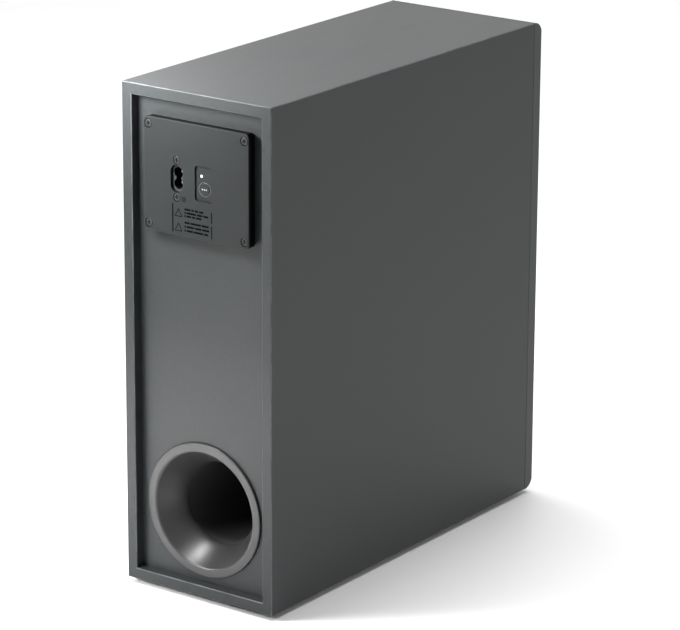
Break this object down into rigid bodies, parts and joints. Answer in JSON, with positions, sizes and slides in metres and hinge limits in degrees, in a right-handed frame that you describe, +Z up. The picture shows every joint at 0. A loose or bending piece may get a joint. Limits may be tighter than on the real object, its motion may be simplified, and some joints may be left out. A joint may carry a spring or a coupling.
{
  "type": "wireless subwoofer",
  "caption": "Slim upright wireless subwoofer of a soundbar set, with a sunk rear panel, amplifier plate, figure-eight mains inlet, pairing button, flared bass port and front driver.",
  "frame": {"origin": "centre of the footprint, on the surface the feet stand on", "axes": "+Z up, +Y out of the rear panel (front grille faces -Y), +X to the left when looking at the rear panel"},
  "size_m": [0.14, 0.36, 0.4],
  "materials": {
    "cabinet_film": "satin film with a fine brushed grain over fibreboard",
    "bare_fibreboard": "raw fibreboard",
    "grille_paint": "satin, to match the cabinet",
    "grille_fabric": "plain acoustic weave",
    "rubber_parts": "matt",
    "foam_seal": "closed-cell foam",
    "port_plastic": "smooth satin moulding",
    "tube_plastic": "matt",
    "plate_plastic": "fine texture",
    "black_plastic": "matt",
    "screw_steel": "black zinc",
    "bright_metal": "nickel plated",
    "lamp_diffuser": "milky clear",
    "circuit_board": "solder mask",
    "ferrite": "matt sintered",
    "winding": "enamelled copper",
    "capacitor_sleeve": "shrink sleeve",
    "heat_sink_metal": "plain extruded",
    "connector_plastic": "natural nylon",
    "lead_cover": "flexible sleeve",
    "wadding_fibre": "polyester fibre",
    "basket_steel": "black powder coat",
    "magnet_steel": "zinc plated",
    "former_foil": "foil",
    "cone_paper": "pressed pulp",
    "spider_cloth": "resin-stiffened cotton",
    "terminal_strip": "fibre board with tinned tabs"
  },
  "bodies": {
    "cabinet": {"amp_faceplate": "plate_plastic", "amp_gasket": "foam_seal", "amp_housing": "black_plastic", "amp_screws": "screw_steel", "amplifier_chip": "black_plastic", "board_screws": "screw_steel", "button_board": "circuit_board", "button_board_screws": "screw_steel", "cabinet_bottom": "cabinet_film", "cabinet_brace": "bare_fibreboard", "cabinet_left": "cabinet_film", "cabinet_right": "cabinet_film", "cabinet_top": "cabinet_film", "capacitors": "capacitor_sleeve", "damping_wadding": "wadding_fibre", "feet": "rubber_parts", "foot_screws": "screw_steel", "front_baffle": "bare_fibreboard", "grille_cloth": "grille_fabric", "grille_frame": "grille_paint", "grille_sockets": "rubber_parts", "heat_sink": "heat_sink_metal", "housing_grommet": "rubber_parts", "inlet_pins": "bright_metal", "inlet_screws": "screw_steel", "inlet_socket": "black_plastic", "lead_clip": "black_plastic", "led_light_pipe": "lamp_diffuser", "main_board": "circuit_board", "port_flare": "port_plastic", "port_gasket": "foam_seal", "port_tube": "tube_plastic", "rear_baffle": "cabinet_film", "shield_can": "bright_metal", "speaker_connector": "connector_plastic", "spider": "spider_cloth", "status_led": "lamp_diffuser", "surround": "rubber_parts", "tact_switch": "black_plastic", "transformer_core": "ferrite", "transformer_winding": "winding", "wireless_module": "circuit_board", "woofer_basket": "basket_steel", "woofer_leads": "lead_cover", "woofer_magnet": "ferrite", "woofer_screws": "screw_steel", "woofer_seal": "foam_seal", "woofer_terminals": "terminal_strip", "woofer_top_plate": "magnet_steel", "woofer_trim_ring": "basket_steel", "woofer_yoke": "magnet_steel"},
    "cone_assembly": {"cone": "cone_paper", "dust_cap": "cone_paper", "voice_coil_former": "former_foil", "voice_coil_winding": "winding"},
    "button": {"pair_button": "plate_plastic", "switch_plunger": "black_plastic"}
  },
  "joints": [
    {"name": "pair_button_press", "type": "slide", "parent": "cabinet", "child": "button", "axis": [0, -1, 0], "range_m": [0, 0.0005], "stiffness_N_per_m": 2600},
    {"name": "cone_stroke", "type": "slide", "parent": "cabinet", "child": "cone_assembly", "axis": [0, -1, 0], "range_m": [-0.005, 0.005], "stiffness_N_per_m": 1600, "deforming": ["surround", "spider"]}
  ]
}
